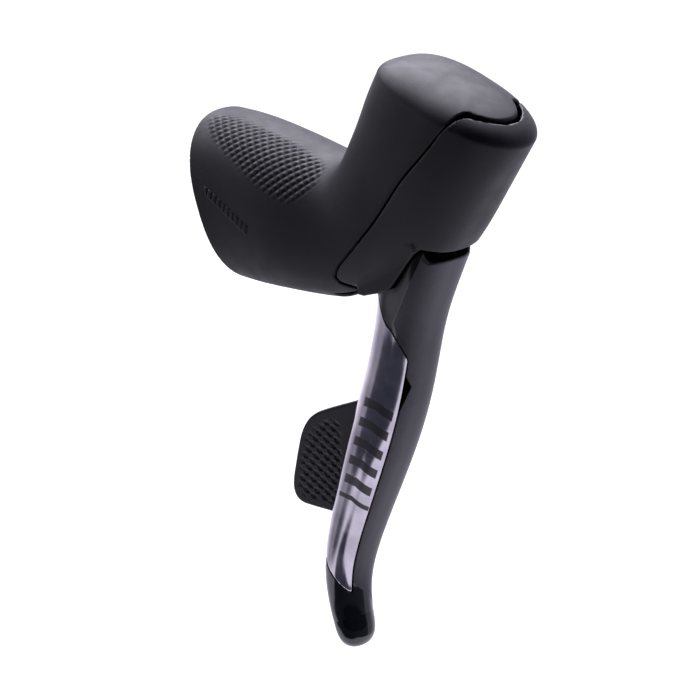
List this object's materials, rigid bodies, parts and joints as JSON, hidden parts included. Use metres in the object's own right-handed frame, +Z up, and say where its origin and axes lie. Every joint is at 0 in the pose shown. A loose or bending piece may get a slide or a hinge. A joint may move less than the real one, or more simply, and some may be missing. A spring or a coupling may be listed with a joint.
{
  "type": "brake shift lever",
  "caption": "Right-hand hydraulic brake and shift lever for a road drop bar: rubber hood, tall pommel, curved brake blade with a polished panel, shift paddle and bar clamp.",
  "frame": {"origin": "middle of the flat land in the saddle on which the handlebar bears", "axes": "+X forward along the bicycle, +Y inboard towards the stem (right-hand lever), +Z up; the blade hangs down and the pommel rises"},
  "size_m": [0.1259, 0.04, 0.184],
  "materials": {
    "hood_rubber": "matte",
    "cover_polymer": "satin",
    "housing_composite": "matte",
    "blade_black": "satin and gloss clear coat over carbon composite",
    "trim_polished": "polished",
    "steel": "satin",
    "spring_steel": "satin",
    "cylinder_alloy": "satin",
    "brass": "satin",
    "bush_polymer": "matte",
    "seal_rubber": "matte",
    "bladder_rubber": "matte",
    "paddle_polymer": "matte",
    "board_green": "satin",
    "cell_steel": "satin",
    "button_rubber": "matte",
    "light_pipe": "gloss",
    "hose_jacket": "satin"
  },
  "bodies": {
    "housing": {"body_housing": "housing_composite", "hood_cover": "hood_rubber", "front_cover": "cover_polymer", "clamp_band": "steel", "clamp_bolt": "steel", "clamp_nut": "steel", "band_hook_pin": "steel", "lever_pivot_pin": "steel", "lever_return_spring": "spring_steel", "master_cylinder": "cylinder_alloy", "retaining_ring": "spring_steel", "piston_return_spring": "spring_steel", "reservoir_bladder": "bladder_rubber", "reservoir_cap": "paddle_polymer", "bleed_screw": "steel", "hose_barb": "brass", "brake_hose": "hose_jacket", "hose_olive": "brass", "hose_nut": "steel", "circuit_board": "board_green", "battery_contact": "brass", "coin_cell": "cell_steel", "button_switch": "paddle_polymer", "status_light": "light_pipe"},
    "lever": {"brake_lever_blade": "blade_black", "lever_trim_panel": "trim_polished", "lever_bushing_outboard": "bush_polymer", "lever_bushing_inboard": "bush_polymer", "paddle_pin": "steel", "paddle_spring": "spring_steel", "shift_switch": "paddle_polymer"},
    "reach_screw": {"reach_adjust_screw": "steel"},
    "piston": {"piston": "cylinder_alloy", "primary_seal": "seal_rubber", "secondary_seal": "seal_rubber", "pushrod": "steel"},
    "paddle": {"shift_paddle": "paddle_polymer"},
    "plunger": {"switch_plunger": "steel"},
    "button": {"function_button": "button_rubber"},
    "hatch": {"battery_hatch": "paddle_polymer", "hatch_seal": "seal_rubber"}
  },
  "joints": [
    {"name": "lever_pull", "type": "hinge", "parent": "housing", "child": "lever", "pos_m": [0.0686, 0, 0.0072], "axis": [0, 1, 0], "range_deg": [0, 18], "stiffness_Nm_per_rad": 0.6},
    {"name": "piston_stroke", "type": "slide", "parent": "housing", "child": "piston", "axis": [0.4802, 0, 0.8771], "range_m": [0, 0.0034]},
    {"name": "paddle_swing", "type": "hinge", "parent": "lever", "child": "paddle", "pos_m": [0.0581, 0.0003, -0.0163], "axis": [0.9781, 0, -0.2079], "range_deg": [0, 5], "stiffness_Nm_per_rad": 0.2},
    {"name": "switch_travel", "type": "slide", "parent": "lever", "child": "plunger", "axis": [0, -1, 0], "range_m": [0, 0.0007]},
    {"name": "button_press", "type": "slide", "parent": "housing", "child": "button", "axis": [0, -1, 0], "range_m": [0, 0.0008], "stiffness_N_per_m": 400},
    {"name": "hatch_turn", "type": "hinge", "parent": "housing", "child": "hatch", "pos_m": [0.0266, 0, -0.0013], "axis": [0, 1, 0], "range_deg": [0, 45]},
    {"name": "reach_screw_turn", "type": "hinge", "parent": "lever", "child": "reach_screw", "pos_m": [0.0586, 0, 0.0112], "axis": [0.4802, 0, 0.8771], "range_deg": [-180, 180]}
  ],
  "couplings": [
    {"joint": "piston_stroke", "follows": "lever_pull", "m_per_rad": 0.0107},
    {"joint": "switch_travel", "follows": "paddle_swing", "m_per_rad": 0.008}
  ]
}
